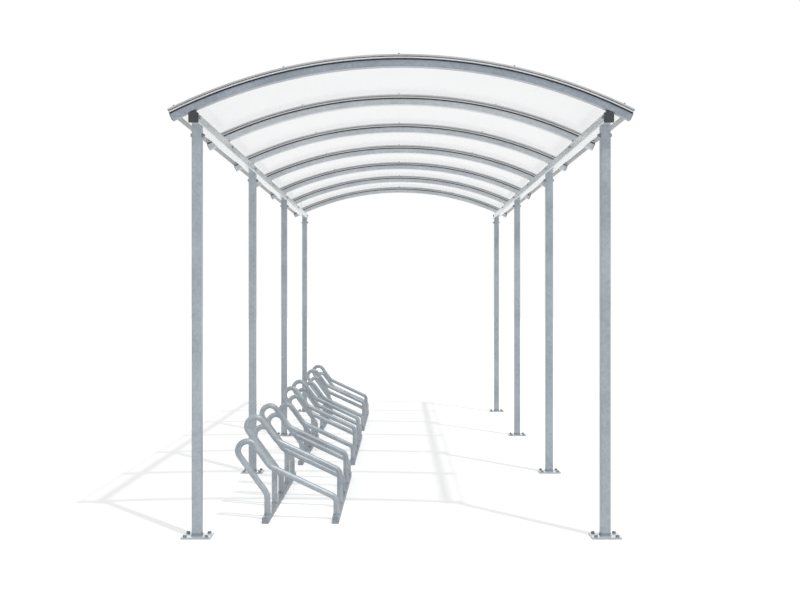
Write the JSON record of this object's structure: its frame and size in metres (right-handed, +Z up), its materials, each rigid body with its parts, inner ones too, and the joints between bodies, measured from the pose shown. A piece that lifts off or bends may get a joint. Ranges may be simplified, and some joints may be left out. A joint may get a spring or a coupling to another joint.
{
  "type": "bike shelter",
  "caption": "Open bike shelter of galvanised square tube with a curved clear roof on arched ribs, over low tube racks that hold front wheels.",
  "frame": {"origin": "on the ground under the middle of the roof", "axes": "+Z up, +Y along the shelter and its roof beams, +X across it, away from the racks"},
  "size_m": [2.3622, 6.21, 2.4594],
  "materials": {
    "galvanised_steel": "hot-dip galvanised, satin with soft spangle",
    "galvanised_rack_tube": "hot-dip galvanised, satin",
    "black_plastic": "moulded, fine texture",
    "black_rubber": "extruded rubber, matt",
    "mill_aluminium": "extruded, anodised natural",
    "weathered_aluminium": "extruded, dulled and greyed by weather",
    "clear_polycarbonate": "clear and glossy"
  },
  "bodies": {
    "root": {"base_plates": "galvanised_steel", "beam_left": "galvanised_steel", "beam_right": "galvanised_steel", "beam_stubs": "galvanised_steel", "post_left_1": "galvanised_steel", "post_left_2": "galvanised_steel", "post_left_3": "galvanised_steel", "post_left_4": "galvanised_steel", "post_right_1": "galvanised_steel", "post_right_2": "galvanised_steel", "post_right_3": "galvanised_steel", "post_right_4": "galvanised_steel", "rib_1": "galvanised_steel", "rib_2": "galvanised_steel", "rib_3": "galvanised_steel", "rib_4": "galvanised_steel", "rib_5": "galvanised_steel", "rib_6": "galvanised_steel", "rib_7": "galvanised_steel", "rack_1_rails": "galvanised_rack_tube", "rack_1_hoops": "galvanised_rack_tube", "rack_2_rails": "galvanised_rack_tube", "rack_2_hoops": "galvanised_rack_tube", "rack_3_rails": "galvanised_rack_tube", "rack_3_hoops": "galvanised_rack_tube", "beam_end_caps": "black_plastic", "rib_end_plugs": "black_plastic", "rib_seats": "black_plastic", "rib_gaskets": "black_rubber", "glazing_bars": "mill_aluminium", "eave_trim_left": "mill_aluminium", "eave_trim_right": "mill_aluminium", "glazing_cap_1": "weathered_aluminium", "glazing_cap_2": "weathered_aluminium", "glazing_cap_3": "weathered_aluminium", "glazing_cap_4": "weathered_aluminium", "glazing_cap_5": "weathered_aluminium", "glazing_cap_6": "weathered_aluminium", "glazing_cap_7": "weathered_aluminium", "roof_sheet_1": "clear_polycarbonate", "roof_sheet_2": "clear_polycarbonate", "roof_sheet_3": "clear_polycarbonate", "roof_sheet_4": "clear_polycarbonate", "roof_sheet_5": "clear_polycarbonate", "roof_sheet_6": "clear_polycarbonate"}
  },
  "joints": []
}
